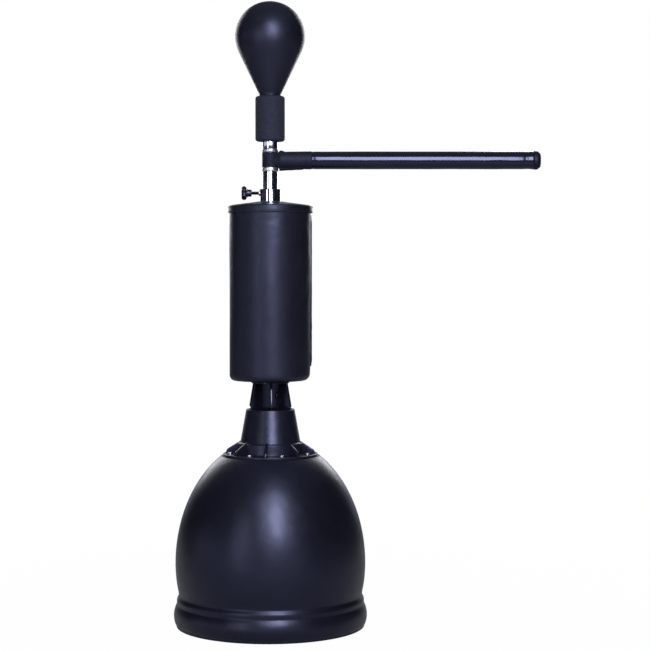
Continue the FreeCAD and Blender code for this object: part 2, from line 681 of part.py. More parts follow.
for name, build in {
    "base_shell": base_shell,
    "thread_inserts": thread_inserts,
    "fill_cap_seal": fill_seal,
    "fill_cap": fill_cap,
    "base_socket": base_socket,
    "flange_washers": flange_washers,
    "flange_screws": flange_screws,
    "column_plug": column_plug,
    "cross_bolt": cross_bolt,
    "cross_bolt_nut": cross_nut,
    "outer_tube": outer_tube,
    "guide_bush": guide_bush,
    "clamp_insert": clamp_insert,
    "clamp_tip": clamp_tip,
    "clamp_screw": clamp_screw,
    "star_knob": star_knob,
    "inner_tube": inner_tube,
    "tube_glide": tube_glide,
    "bag_foam": bag_foam,
    "bag_liner": bag_liner,
    "bag_cover": bag_cover,
    "bag_closure": bag_closure,
    "spindle": spindle,
    "lower_ring": lower_ring,
    "upper_ring": upper_ring,
    "ring_set_screws": ring_set_screws,
    "lower_hub_bush": lambda: hub_bush(hub_low_z, hub_low_z + bush_flange),
    "upper_hub_bush": lambda: hub_bush(hub_top_z - bush_flange, hub_top_z - bush_flange - bush_length),
    "arm_hub": arm_hub,
    "arm_rod": arm_rod,
    "arm_foam": arm_foam,
    "arm_cover": arm_cover,
    "arm_wrap": arm_wrap,
    "arm_end_cap": arm_end_cap,
    "neck_tube": neck_tube,
    "lower_spring_seat": lower_spring_seat,
    "upper_spring_seat": upper_spring_seat,
    "ball_spring": ball_spring,
    "foam_grip": foam_grip,
    "ball_stud": ball_stud,
    "neck_plug": neck_plug,
    "ball_bladder": ball_bladder,
    "ball_valve": ball_valve,
    "ball_cover": ball_cover,
}.items():
    save(name, build())
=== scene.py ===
import math

import bmesh
import bpy
from mathutils import Matrix, Vector, noise


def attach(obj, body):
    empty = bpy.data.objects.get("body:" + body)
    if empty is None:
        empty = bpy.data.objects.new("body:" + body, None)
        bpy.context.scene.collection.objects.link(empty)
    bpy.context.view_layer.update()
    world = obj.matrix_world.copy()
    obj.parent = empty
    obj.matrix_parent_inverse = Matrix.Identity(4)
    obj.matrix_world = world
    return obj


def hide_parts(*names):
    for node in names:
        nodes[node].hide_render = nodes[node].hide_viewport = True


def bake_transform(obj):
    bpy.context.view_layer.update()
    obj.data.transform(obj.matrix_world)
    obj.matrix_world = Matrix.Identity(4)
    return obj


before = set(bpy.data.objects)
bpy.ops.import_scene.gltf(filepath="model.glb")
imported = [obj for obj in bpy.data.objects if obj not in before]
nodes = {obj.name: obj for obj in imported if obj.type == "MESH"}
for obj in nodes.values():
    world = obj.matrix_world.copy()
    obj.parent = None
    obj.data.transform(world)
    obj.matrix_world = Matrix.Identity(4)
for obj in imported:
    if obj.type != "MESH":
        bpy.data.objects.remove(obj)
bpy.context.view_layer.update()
mm = 0.001
turn = 2 * math.pi
print("frame loaded:", len(nodes), "nodes")


# ---- colours, nodes and finishes ----

def colour(code):
    levels = [int(code[at:at + 2], 16) / 255 for at in (1, 3, 5)]
    return [c / 12.92 if c <= 0.04045 else ((c + 0.055) / 1.055) ** 2.4 for c in levels] + [1.0]


def addNode(tree, kind, values=None, links=None, **settings):
    made = tree.nodes.new("ShaderNode" + kind)
    for name, value in settings.items():
        setattr(made, name, value)
    for socket, value in (values or {}).items():
        made.inputs[socket].default_value = value
    for socket, source in (links or {}).items():
        tree.links.new(source, made.inputs[socket])
    return made


def fade(tree, value, span, levels=(0.0, 1.0), smooth=True):
    # carries a value from the span to the two levels
    return addNode(tree, "MapRange", {"From Min": span[0], "From Max": span[1], "To Min": levels[0],
                                      "To Max": levels[1]}, {"Value": value},
                   interpolation_type="SMOOTHSTEP" if smooth else "LINEAR").outputs[0]


def joined(tree, how, *values):
    # a sum on plain numbers and on other nodes' outputs
    numbers = {k: v for k, v in enumerate(values) if isinstance(v, (int, float))}
    sources = {k: v for k, v in enumerate(values) if k not in numbers}
    return addNode(tree, "Math", numbers, sources, operation=how).outputs[0]


def pattern(tree, kind, size, stretch=(1, 1, 1), detail=2.0):
    # a height from 0 to 1 that repeats about every `size` millimetres, longer where stretch is above 1
    coords = addNode(tree, "TexCoord").outputs["Object"]
    scale = [1 / (size * mm * s) for s in stretch]
    placed = addNode(tree, "Mapping", {"Scale": scale}, {"Vector": coords}).outputs[0]
    if kind == "cells":
        return addNode(tree, "TexVoronoi", {"Scale": 1.0}, {"Vector": placed}).outputs["Distance"]
    if kind in ("ribsX", "ribsZ"):
        return addNode(tree, "TexWave", {"Scale": 0.31416, "Distortion": 0.35, "Detail": detail},
                       {"Vector": placed}, bands_direction=kind[-1]).outputs["Fac"]
    return addNode(tree, "TexNoise", {"Scale": 1.0, "Detail": detail, "Roughness": 0.55},
                   {"Vector": placed}).outputs["Fac"]


def finish(name, base, shade, rough, swing=0.05, mottle=30, mottleStretch=(1, 1, 1), bumps=(), seam=None,
           sockets=None):
    # base and shade are the two colours that the mottle mixes, swing is how far the roughness wanders
    material = bpy.data.materials.new(name)
    material.use_nodes = True
    tree = material.node_tree
    tree.nodes.clear()
    cloudy = pattern(tree, "grain", mottle, mottleStretch, 4.0)
    tone = fade(tree, cloudy, (0.3, 0.7), smooth=False)
    mixed = addNode(tree, "Mix", {6: colour(base), 7: colour(shade)}, {0: tone}, data_type="RGBA").outputs[2]
    worn = pattern(tree, "grain", mottle * 0.37, mottleStretch, 5.0)
    gloss = fade(tree, worn, (0.25, 0.75), (rough - swing, rough + swing), smooth=False)
    normal = None
    for kind, size, stretch, depth in bumps:
        height = pattern(tree, kind, size, stretch)
        links = {"Height": height}
        if normal:
            links["Normal"] = normal
        normal = addNode(tree, "Bump", {"Strength": 1.0, "Distance": depth * mm}, links).outputs[0]
    if seam:  # a raised parting line of the mould, where y is 0
        coords = addNode(tree, "TexCoord").outputs["Object"]
        across = addNode(tree, "SeparateXYZ", {}, {0: coords}).outputs["Y"]
        ridge = fade(tree, joined(tree, "ABSOLUTE", across), (0.0, seam * mm), (1.0, 0.0))
        normal = addNode(tree, "Bump", {"Strength": 1.0, "Distance": 0.5 * mm},
                         {"Height": ridge, "Normal": normal}).outputs[0]
    links = {"Base Color": mixed, "Roughness": gloss}
    if normal:
        links["Normal"] = normal
    shader = addNode(tree, "BsdfPrincipled", sockets or {}, links)
    addNode(tree, "OutputMaterial", {}, {0: shader.outputs[0]})
    return material


cool = colour("#c4caff")  # the faint blue of the studio's light in black gloss
moulded = {"IOR": 1.49, "Specular Tint": cool}
metal = {"Metallic": 1.0}
leathercloth = {"IOR": 1.5, "Specular Tint": cool}

# blow-moulded HDPE: satin black, waxy, with the mould's soft orange peel and a parting line
tankFinish = finish("satin blow moulded polyethylene", "#0b0c14", "#0f101a", 0.35, 0.04, 90,
                    bumps=[("grain", 85, (1, 1, 1), 1.3), ("grain", 6, (1, 1, 1), 0.12)], seam=1.4,
                    sockets=moulded)
# injection-moulded PP from a polished tool: glossy black, faint flow marks round the axis
socketFinish = finish("glossy injection moulded polypropylene", "#0e0f19", "#13141f", 0.34, 0.07, 22,
                      bumps=[("grain", 26, (1.6, 1.6, 0.6), 0.7), ("grain", 6, (3, 3, 0.7), 0.1)],
                      sockets=moulded)
plugFinish = finish("gloss moulded polypropylene of the plug", "#0a0b15", "#0e0f1a", 0.13, 0.03, 24,
                    (1, 1, 4), bumps=[("grain", 26, (1, 1, 4), 0.08)], sockets=moulded)
capFinish = finish("textured moulded polypropylene", "#16171d", "#1c1d24", 0.42, 0.06, 14,
                   bumps=[("grain", 1.6, (1, 1, 1), 0.05)], sockets=moulded)
knobFinish = finish("moulded phenolic of the knob", "#121319", "#191a20", 0.28, 0.06, 8,
                    bumps=[("grain", 3, (1, 1, 1), 0.03)], sockets=moulded)
armCapFinish = finish("matt moulded polyethylene of the arm's cap", "#07080f", "#0d0e16", 0.55, 0.06, 12,
                      bumps=[("grain", 3.2, (1, 1, 1), 0.15)], sockets={"IOR": 1.4, "Specular Tint": cool})

# bright chrome plate on drawn steel: a clean mirror with fine marks along the draw and a few dull spots
chromeFinish = finish("bright chrome plate", "#dfe1ea", "#c2c5d2", 0.11, 0.05, 9, (1, 1, 4),
                      bumps=[("grain", 7, (1, 1, 3), 0.09)], sockets=metal)
satinFinish = finish("satin chrome plate", "#d6d7e2", "#bfc0cd", 0.34, 0.05, 8, (1, 1, 0.5),
                     bumps=[("grain", 4, (1, 1, 0.5), 0.02)], sockets=metal)
turnedFinish = finish("turned bright steel", "#b9bcc2", "#a4a8b0", 0.2, 0.05, 6, (6, 6, 1),
                      bumps=[("ribsZ", 0.8, (1, 1, 1), 0.01)], sockets=metal)
zincFinish = finish("bright zinc plated steel", "#c3c8d2", "#a9afbb", 0.26, 0.08, 5,
                    bumps=[("grain", 1.5, (1, 1, 1), 0.02)], sockets=metal)
blackSteelFinish = finish("black oxide steel", "#25262b", "#35363b", 0.33, 0.06, 5,
                          bumps=[("grain", 1.2, (1, 1, 1), 0.02)], sockets=metal)
springFinish = finish("phosphated spring steel", "#53555b", "#6a6c72", 0.36, 0.06, 6,
                      bumps=[("grain", 1.4, (1, 1, 1), 0.02)], sockets=metal)
brassFinish = finish("turned brass", "#b08d4c", "#9a7a40", 0.3, 0.06, 4,
                     bumps=[("grain", 1.2, (1, 1, 1), 0.02)], sockets=metal)

# PVC leathercloth, calendered: fine pebbled grain, a soft sheen and slow waves where it lies on the foam
bagFinish = finish("black leathercloth with a fine grain", "#0c0d15", "#11121b", 0.43, 0.05, 40,
                   bumps=[("grain", 38, (1.4, 1.4, 1), 0.5), ("cells", 3.0, (1, 1, 1), 0.08)],
                   sockets=leathercloth)
# polished PU leathercloth: the same black with a wet gloss and small slack waves
armFinish = finish("glossy black leathercloth", "#0d0e17", "#12131d", 0.16, 0.04, 40, (2, 1, 1),
                   bumps=[("grain", 70, (2.5, 1, 1), 0.25), ("grain", 6, (1.5, 1, 1), 0.015)],
                   sockets=leathercloth)
ballFinish = finish("smooth black ball leathercloth", "#0d0e17", "#12131d", 0.42, 0.04, 45,
                    bumps=[("grain", 44, (1, 1, 1), 0.2), ("cells", 2.2, (1, 1, 1), 0.03)],
                    sockets=leathercloth)
# nylon webbing, plain weave: ribs 2 mm wide from thick weft yarns, dull with a little sheen
webbingFinish = finish("black nylon webbing", "#0b0c13", "#15161f", 0.64, 0.08, 7,
                       bumps=[("ribsZ", 4.4, (1, 1, 1), 0.3), ("ribsX", 2.8, (1, 1, 1), 0.14)],
                       sockets={"IOR": 1.42, "Specular Tint": cool})
sleeveFinish = finish("black pack cloth", "#0a0b13", "#11121b", 0.62, 0.07, 12,
                      bumps=[("ribsX", 3.2, (1, 1, 1), 0.1), ("grain", 12, (2, 1, 1), 0.25)],
                      sockets={"IOR": 1.42, "Specular Tint": cool, "Sheen Weight": 0.01, "Sheen Roughness": 0.5})
# closed-cell NBR foam with its moulded skin: matt grey-black, pinholes a millimetre or two across
gripFinish = finish("black closed cell rubber foam", "#181a24", "#20222d", 0.78, 0.06, 9,
                    bumps=[("cells", 2.4, (1, 1, 1), 0.22), ("grain", 14, (1, 1, 1), 0.3)],
                    sockets={"IOR": 1.4, "Specular Tint": cool, "Sheen Weight": 0.02, "Sheen Roughness": 0.6})
coreFinish = finish("cut polyethylene foam", "#2b2c31", "#3a3b41", 0.85, 0.05, 8,
                    bumps=[("cells", 3.0, (1, 1, 1), 0.4)], sockets={"IOR": 1.35})
rubberFinish = finish("moulded black rubber", "#17181b", "#202125", 0.6, 0.06, 9,
                      bumps=[("grain", 2.0, (1, 1, 1), 0.05)], sockets={"IOR": 1.5})
nylonFinish = finish("natural black nylon", "#1b1c20", "#24252a", 0.4, 0.05, 9,
                     bumps=[("grain", 2.0, (1, 1, 1), 0.03)], sockets={"IOR": 1.53})
linerFinish = finish("extruded grey PVC", "#3a3c42", "#44464d", 0.45, 0.06, 20, (1, 1, 5),
                     bumps=[("grain", 6, (1, 1, 6), 0.05)], sockets={"IOR": 1.53})
threadFinish = finish("bonded black thread", "#0e0f14", "#1a1b22", 0.5, 0.05, 2,
                      bumps=[("grain", 0.8, (1, 1, 1), 0.05)], sockets={"IOR": 1.5})
print("finishes made")


# ---- mesh helpers, in millimetres until a piece is finished ----

def oval(centre, radii, start, end, count):
    # points of an ellipse's arc in the radius and height plane, angles in degrees
    angles = [math.radians(start + (end - start) * k / count) for k in range(count + 1)]
    return [(centre[0] + radii[0] * math.cos(a), centre[1] + radii[1] * math.sin(a)) for a in angles]


def bow(a, corner, b, count):
    # a quarter curve from a to b that leaves towards the corner
    first, last, pull = Vector(a), Vector(b), Vector(corner)
    leave, arrive = first.lerp(pull, 0.552), last.lerp(pull, 0.552)
    points = []
    for k in range(count + 1):
        t = k / count
        start, middle, end = first.lerp(leave, t), leave.lerp(arrive, t), arrive.lerp(last, t)
        points.append(tuple(start.lerp(middle, t).lerp(middle.lerp(end, t), t)))
    return points


def bell(value, centre, width):
    return math.exp(-((value - centre) / width) ** 2)


def lathe(bm, outline, steps=96, turned=None, closed=True):
    # spins an outline of (radius, height) places about the upright axis; a third number rounds that corner
    old = set(bm.verts)
    fresh = [bm.verts.new((place[0], 0, place[1])) for place in outline]
    pairs = list(zip(fresh, fresh[1:])) + ([(fresh[-1], fresh[0])] if closed else [])
    for pair in pairs:
        bm.edges.new(pair)
    sizes = {place[2] for place in outline if len(place) > 2}
    for size in sizes:
        corners = [v for v, place in zip(fresh, outline) if len(place) > 2 and place[2] == size]
        bmesh.ops.bevel(bm, geom=corners, offset=size, offset_type="OFFSET", segments=4, profile=0.5,
                        affect="VERTICES", material=-1)
    wire = [edge for edge in bm.edges if edge.is_wire]
    corners = list({v for edge in wire for v in edge.verts})
    bmesh.ops.spin(bm, geom=corners + wire, cent=(0, 0, 0), axis=(0, 0, 1), dvec=(0, 0, 0), angle=turn,
                   steps=steps, use_merge=True, use_duplicate=False)
    made = [v for v in bm.verts if v not in old]
    bmesh.ops.remove_doubles(bm, verts=made, dist=0.0005)
    return settled(bm, old, turned)


def settled(bm, old, turned=None):
    # faces outwards, then moved into place; returns the new vertices
    made = [v for v in bm.verts if v not in old]
    faces = list({f for v in made for f in v.link_faces})
    bmesh.ops.recalc_face_normals(bm, faces=faces)
    if turned:
        bmesh.ops.transform(bm, matrix=turned, verts=made)
    return made


def plate(bm, outline, thickness, soften=0.8):
    # a flat plate at the front, in the plane through the axis, with its edges bevelled
    old = set(bm.verts)
    face = bm.faces.new([bm.verts.new((-thickness / 2, -radius, z)) for radius, z in outline])
    grown = bmesh.ops.extrude_face_region(bm, geom=[face])["geom"]
    far = [part for part in grown if isinstance(part, bmesh.types.BMVert)]
    bmesh.ops.translate(bm, vec=(thickness, 0, 0), verts=far)
    made = [v for v in bm.verts if v not in old]
    edges = list({e for v in made for e in v.link_edges})
    bmesh.ops.bevel(bm, geom=edges, offset=soften, offset_type="OFFSET", segments=2, profile=0.5,
                    affect="EDGES", material=-1)
    return settled(bm, old)


def block(bm, size, centre, soften=0.8, turned=None):
    old = set(bm.verts)
    made = bmesh.ops.create_cube(bm, size=1.0)["verts"]
    bmesh.ops.scale(bm, vec=size, verts=made)
    edges = list({e for v in made for e in v.link_edges})
    bmesh.ops.bevel(bm, geom=edges, offset=soften, offset_type="OFFSET", segments=2, profile=0.5,
                    affect="EDGES", material=-1)
    made = [v for v in bm.verts if v not in old]
    bmesh.ops.translate(bm, vec=centre, verts=made)
    return settled(bm, old, turned)


def ringOf(bm, made, count, phase=0.0):
    # copies of what was made, spread evenly round the upright axis
    bmesh.ops.rotate(bm, cent=(0, 0, 0), matrix=Matrix.Rotation(math.radians(phase), 3, "Z"), verts=made)
    faces = list({f for v in made for f in v.link_faces})
    edges = list({e for v in made for e in v.link_edges})
    bmesh.ops.spin(bm, geom=list(made) + edges + faces, cent=(0, 0, 0), axis=(0, 0, 1), dvec=(0, 0, 0),
                   angle=turn * (count - 1) / count, steps=count - 1, use_duplicate=True)


def build(name, bm, finishMade, body=None, stands=(), sharp=35):
    bmesh.ops.scale(bm, vec=(mm, mm, mm), verts=bm.verts)
    for face in bm.faces:
        face.smooth = True
    mesh = bpy.data.meshes.new(name)
    bm.to_mesh(mesh)
    bm.free()
    mesh.set_sharp_from_angle(angle=math.radians(sharp))
    mesh.materials.append(finishMade)
    piece = bpy.data.objects.new(name, mesh)
    bpy.context.scene.collection.objects.link(piece)
    if body:
        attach(piece, body)
    if stands:
        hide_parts(*stands)
    return piece


def bake(piece):
    # the modifiers' result becomes the piece's own mesh
    graph = bpy.context.evaluated_depsgraph_get()
    mesh = bpy.data.meshes.new_from_object(piece.evaluated_get(graph))
    piece.modifiers.clear()
    piece.data = mesh
    return piece


def cutWith(piece, bm):
    cutter = build("cutter", bm, piece.data.materials[0])
    cutting = piece.modifiers.new("cut", "BOOLEAN")
    cutting.operation, cutting.solver, cutting.object = "DIFFERENCE", "EXACT", cutter
    cutting.use_self = True  # the shells that make up a moulding overlap
    bake(piece)
    bpy.data.objects.remove(cutter)
    piece.data.set_sharp_from_angle(angle=math.radians(35))


def thicken(piece, thickness, offset=-1):
    skin = piece.modifiers.new("skin", "SOLIDIFY")
    skin.thickness, skin.offset = thickness * mm, offset


def smoothOnce(piece):
    finer = piece.modifiers.new("finer", "SUBSURF")
    finer.levels = finer.render_levels = 1


def drill(piece, radius, start, end, placed, steps=32):
    # a round hole from start to end along the placed axis
    hole = bmesh.new()
    lathe(hole, [(0, start), (radius, start), (radius, end), (0, end)], steps, placed, closed=False)
    cutWith(piece, hole)


def along(x=0.0, y=0.0, z=0.0, way=(0, 0, 1)):
    # a lathe's upright axis laid along `way` from a place
    tipped = Vector((0, 0, 1)).rotation_difference(Vector(way)).to_matrix().to_4x4()
    return Matrix.Translation((x, y, z)) @ tipped


# ---- fillable base ----

tank = {"belly": 226.2, "bellyZ": 150.0, "domeHeight": 300.0, "deckZ": 406.0, "wall": 4.5, "steps": 192}


def domeArc(topZ, inset=0.0, count=40):
    wide, tall = tank["belly"] - inset, tank["domeHeight"] - inset
    end = math.degrees(math.asin((topZ - tank["bellyZ"]) / tall))
    return oval((0, tank["bellyZ"]), (wide, tall), 0, end, count)


fillTilt = math.radians(55)
fillWay = Vector((0, math.sin(fillTilt), math.cos(fillTilt)))
fillPlace = Vector((0, 165.75, 354.15))
fillTurn = along(*fillPlace, fillWay)

bm = bmesh.new()
outline = [(0, 0), (221.6, 0)] + bow((221.6, 0), (224.6, 0), (224.6, 4), 4)[1:]
outline += bow((224.6, 6), (229.6, 9.5), (230.2, 27), 7) + bow((230.2, 27), (230.2, 44), (223.4, 53.5), 8)[1:]
outline += bow((223.4, 53.5), (223.0, 55.5), (223.0, 58), 3)[1:]
outline += bow((223.0, 63), (222.8, 68.2), (220.4, 70.8), 4)
outline += bow((220.4, 70.8), (218.2, 73.4), (218.4, 77), 4)[1:] + bow((218.4, 77), (218.6, 82), (220.6, 91), 5)[1:]
outline += bow((220.6, 91), (226.2, 116), (226.2, 150), 10)[1:]
outline += domeArc(tank["deckZ"])[1:] + [(0, tank["deckZ"])]
lathe(bm, outline, tank["steps"], closed=False)
wall, roof = tank["wall"], tank["deckZ"] - tank["wall"]
inner = [(0, wall), (213.9, wall, 6.0), (213.9, 77)] + bow((213.9, 77), (221.7, 112), (221.7, 150), 6)[1:]
inner += domeArc(roof, wall, 20)[1:] + [(0, roof)]
made = lathe(bm, inner, 96, closed=False)
bmesh.ops.reverse_faces(bm, faces=list({f for v in made for f in v.link_faces}))
tankBody = build("tankBody", bm, tankFinish, "root", ["base_shell"], sharp=40)
drill(tankBody, 22, -30, 12, fillTurn, 64)

bm = bmesh.new()
lathe(bm, [(20, -12), (24, -12), (24, -7), (33, -7), (33, 2.5, 1.2), (20, 2.5, 0.5)], 96, fillTurn)
build("fillBoss", bm, tankFinish, "root")

fillCap = {"height": 7.0, "low": 4.7, "ribs": 40, "grip": (40.0, 9.0, 8.0)}
bm = bmesh.new()
low, top = fillCap["low"], fillCap["low"] + fillCap["height"]
lathe(bm, [(0, low), (17, low), (17, -9.5), (19.92, -9.5, 0.8), (19.92, low), (28.2, low, 0.8), (28.2, top, 2.2),
           (0, top)], 96, fillTurn, closed=False)
made = block(bm, (1.2, 1.5, 4.6), (28.4, 0, low + 3.0), 0.4)
ringOf(bm, made, fillCap["ribs"])
ribs = [v for v in bm.verts if v.co.length < 60]
bmesh.ops.transform(bm, matrix=fillTurn, verts=ribs)
block(bm, fillCap["grip"], (0, 0, top + 3.0), 2.6, fillTurn)
build("fillCapTop", bm, capFinish, "cap", ["fill_cap"])
print("base made")


# ---- socket and finned plug ----

socket = {"flange": 112.5, "flangeTop": 412.0, "ledge": 77.0, "ledgeTop": 438.0, "top": 57.5, "topZ": 517.0,
          "taper": 0.177, "bore": 53.2, "gussets": 8, "phase": -5.0, "thickness": 6.5}


def socketRadius(z):
    return socket["top"] + (socket["topZ"] - z) * socket["taper"]


bm = bmesh.new()
lathe(bm, [(socket["bore"], 406.0), (socket["flange"], 406.0, 0.8), (socket["flange"], socket["flangeTop"], 1.6),
           (socket["ledge"], socket["flangeTop"], 2.0), (socket["ledge"], socket["ledgeTop"], 2.6),
           (socketRadius(socket["ledgeTop"]), socket["ledgeTop"], 1.6), (socket["top"], socket["topZ"], 1.5),
           (socket["bore"] + 0.8, socket["topZ"], 0.8), (socket["bore"], socket["topZ"] - 3)], 144)
foot = socketRadius(socket["flangeTop"]) - 1.5
made = plate(bm, [(socketRadius(443) - 1.5, 443), (104.0, 421.0), (107.5, 411.5), (foot, 411.5)],
             socket["thickness"], 1.7)
ringOf(bm, made, socket["gussets"], socket["phase"])
build("socketBody", bm, socketFinish, "root", ["base_socket"])

plug = {"top": 45.0, "topZ": 583.0, "skirt": 55.5, "skirtZ": 524.0, "hub": 28.2, "bore": 25.15, "fins": 6,
        "phase": 4.3, "thickness": 6.0}
bm = bmesh.new()
lathe(bm, [(plug["bore"], 410.5), (plug["hub"], 410.5), (plug["hub"], 579.0, 1.2), (plug["top"], 579.0, 0.8),
           (plug["top"], plug["topZ"], 1.2), (plug["bore"], plug["topZ"], 0.6)], 96)
lathe(bm, [(0, 406.5), (52.0, 406.5, 1.0), (52.0, 410.5, 1.0), (0, 410.5)], 64, closed=False)
made = plate(bm, [(27.2, 582), (45, 582), (plug["skirt"], plug["skirtZ"]), (52.3, 519), (52.3, 516), (52, 410),
                  (27.2, 410)], plug["thickness"], 0.9)
ringOf(bm, made, plug["fins"], plug["phase"])
plugBody = build("plugBody", bm, plugFinish, "root", ["column_plug"])
bolt = {"z": 550, "angle": math.radians(38), "clearance": 4.1, "reach": 60}
boltTurn = along(0, 0, bolt["z"], (math.sin(bolt["angle"]), -math.cos(bolt["angle"]), 0))
drill(plugBody, bolt["clearance"], -bolt["reach"], bolt["reach"], boltTurn)
print("socket and plug made")


# ---- chrome pole, rings and clamp ----

clampTurn = along(0, 0, 1029.5, (-1, 0, 0))
pole = {"outerPole": ("root", "outer_tube", 25.0, 23.0, 417.0, 1037.5),
        "innerPole": ("pole", "inner_tube", 18.0, 16.2, 655.0, 1082.0),
        "neckPole": ("pole", "neck_tube", 18.0, 16.2, 1134.0, 1160.0)}
for name, (body, node, radius, bore, low, top) in pole.items():
    bm = bmesh.new()
    lathe(bm, [(bore, low), (radius, low, 0.6), (radius, top, 0.6), (bore, top)], 128)
    made = build(name, bm, chromeFinish, body, [node])
    if name == "outerPole":
        drill(made, bolt["clearance"], -bolt["reach"], bolt["reach"], boltTurn)
        drill(made, 5.5, 18, 40, clampTurn)

rings = {"radius": 19.5, "crown": 0.9, "bore": 14.0}
bore = rings["bore"]
for name, node, low, height in (("lowerRetainer", "lower_ring", 1080.5, 10.0),
                                ("upperRetainer", "upper_ring", 1126.0, 8.0)):
    bm = bmesh.new()
    middle, edge = low + height / 2, rings["radius"] - rings["crown"]
    face = [(edge, low + 0.5)]
    face += bow((edge + 0.5, low + 1.1), (rings["radius"], low + 2.0), (rings["radius"], middle), 4)
    face += [(r, 2 * middle - z) for r, z in face[-2::-1]]
    top = low + height
    if name == "lowerRetainer":  # this one is stepped to sit on the end of the inner tube
        outline = [(18.0, low), (edge - 0.4, low)] + face
        outline += [(edge - 0.4, top), (bore, top), (bore, 1082.0), (18.0, 1082.0)]
    else:
        outline = [(bore, low), (edge - 0.4, low)] + face + [(edge - 0.4, top), (bore, top)]
    lathe(bm, outline, 128)
    build(name, bm, satinFinish, "pole", [node])

knob = {"radius": 14.6, "wave": 1.9, "lobes": 6}
bm = bmesh.new()
head = [(0, 64.8), (5.0, 65.4), (7.0, 67.4), (11.6, 68.0), (knob["radius"], 66.0), (knob["radius"], 58.4), (12.4, 56.0),
        (8.3, 56.0), (8.3, 44.0, 0.6), (4.05, 44.0), (4.05, 60.0), (0, 60.0)]
made = lathe(bm, head, 96, closed=False)
for vert in made:  # the lobes: the rim swells and sinks round the axis
    reach = math.hypot(vert.co.x, vert.co.y)
    if reach > 10 and vert.co.z > 55:
        lobe = math.cos(knob["lobes"] * math.atan2(vert.co.y, vert.co.x))
        swell = 1 + knob["wave"] * lobe / knob["radius"] * (reach / knob["radius"])
        vert.co.x *= swell
        vert.co.y *= swell
bmesh.ops.transform(bm, matrix=clampTurn, verts=bm.verts)
knobHead = build("knobHead", bm, knobFinish, "knob", ["star_knob"], sharp=50)
smoothOnce(knobHead)

thread = {"major": 4.0, "minor": 3.4, "pitch": 1.25, "start": 20.4, "end": 59.6, "perTurn": 28}
bm = bmesh.new()
turns = int((thread["end"] - thread["start"]) / thread["pitch"])
low = thread["start"]
profile = ((thread["minor"], 0), (thread["major"], 0.4), (thread["major"], 0.55), (thread["minor"], 1))
section = [bm.verts.new((r, 0, low + thread["pitch"] * at)) for r, at in profile]
edges = [bm.edges.new(pair) for pair in zip(section, section[1:])]
steps = turns * thread["perTurn"]
bmesh.ops.spin(bm, geom=section + edges, cent=(0, 0, 0), axis=(0, 0, 1),
               dvec=(0, 0, thread["pitch"] / thread["perTurn"]), angle=turn * turns, steps=steps,
               use_duplicate=False)
bmesh.ops.remove_doubles(bm, verts=bm.verts, dist=0.01)
core = thread["minor"]
lathe(bm, [(0, low + 0.2), (core, low + 0.2, 0.3), (core, 59.8), (0, 59.8)], 32, closed=False)
bmesh.ops.recalc_face_normals(bm, faces=bm.faces)
bmesh.ops.transform(bm, matrix=clampTurn, verts=bm.verts)
build("clampThread", bm, blackSteelFinish, "knob", ["clamp_screw"], sharp=25)
print("pole and clamp made")


# ---- soft goods ----

clothRun = {"frames": 20, "quality": 5, "mass": 0.25, "stretch": 12, "shear": 6, "bending": 0.4}


def puff(piece, held, pressure, cap, slack=0.0, evened=2):
    # cloth with air behind it swells between the sewn places, and no point moves further than the cap
    rest = [v.co.copy() for v in piece.data.vertices]
    sewn = piece.vertex_groups.new(name="sewn")
    sewn.add(held, 1.0, "REPLACE")
    cloth = piece.modifiers.new("cloth", "CLOTH")
    cloth.settings.quality = clothRun["quality"]
    cloth.settings.mass = clothRun["mass"]
    cloth.settings.tension_stiffness = cloth.settings.compression_stiffness = clothRun["stretch"]
    cloth.settings.shear_stiffness = clothRun["shear"]
    cloth.settings.bending_stiffness = clothRun["bending"]
    cloth.settings.use_pressure = True
    cloth.settings.uniform_pressure_force = pressure
    cloth.settings.shrink_min = -slack
    cloth.settings.vertex_group_mass = "sewn"
    cloth.settings.effector_weights.gravity = 0
    cloth.point_cache.frame_start, cloth.point_cache.frame_end = 1, clothRun["frames"]
    scene = bpy.context.scene
    for at in range(1, clothRun["frames"] + 1):
        scene.frame_set(at)
    swollen = piece.evaluated_get(bpy.context.evaluated_depsgraph_get()).data
    moved = [v.co.copy() for v in swollen.vertices]
    piece.modifiers.clear()
    piece.vertex_groups.clear()
    steps = [end - start for start, end in zip(rest, moved)]
    beside = [[] for _ in steps]
    for edge in piece.data.edges:
        a, b = edge.vertices
        beside[a].append(b)
        beside[b].append(a)
    for _ in range(evened):  # stiff cloth on foam bulges evenly, without puckers from row to row
        steps = [(step + sum((steps[k] for k in near), Vector())) / (len(near) + 1)
                 for step, near in zip(steps, beside)]
    for vert, start, step in zip(piece.data.vertices, rest, steps):
        vert.co = start + step * min(1.0, cap * mm / max(step.length, 1e-9))
    scene.frame_set(1)


# Bag cover: a tube of leathercloth pulled over the foam, hemmed at the top and lapped shut down one side.
bag = {"radius": 98.5, "lowZ": 583.5, "rimZ": 1003.0, "crownZ": 1011.0, "lowRound": 16.0, "rimRound": 5.0,
       "hole": 31.5, "coreHole": 30.4, "hemLow": 981.0, "hemTop": 999.0, "closure": 102.0, "rows": 66, "steps": 112,
       "inset": 2.0, "coreInset": 5.5, "cap": 5.0, "deepest": -2.4, "skin": 1.4}


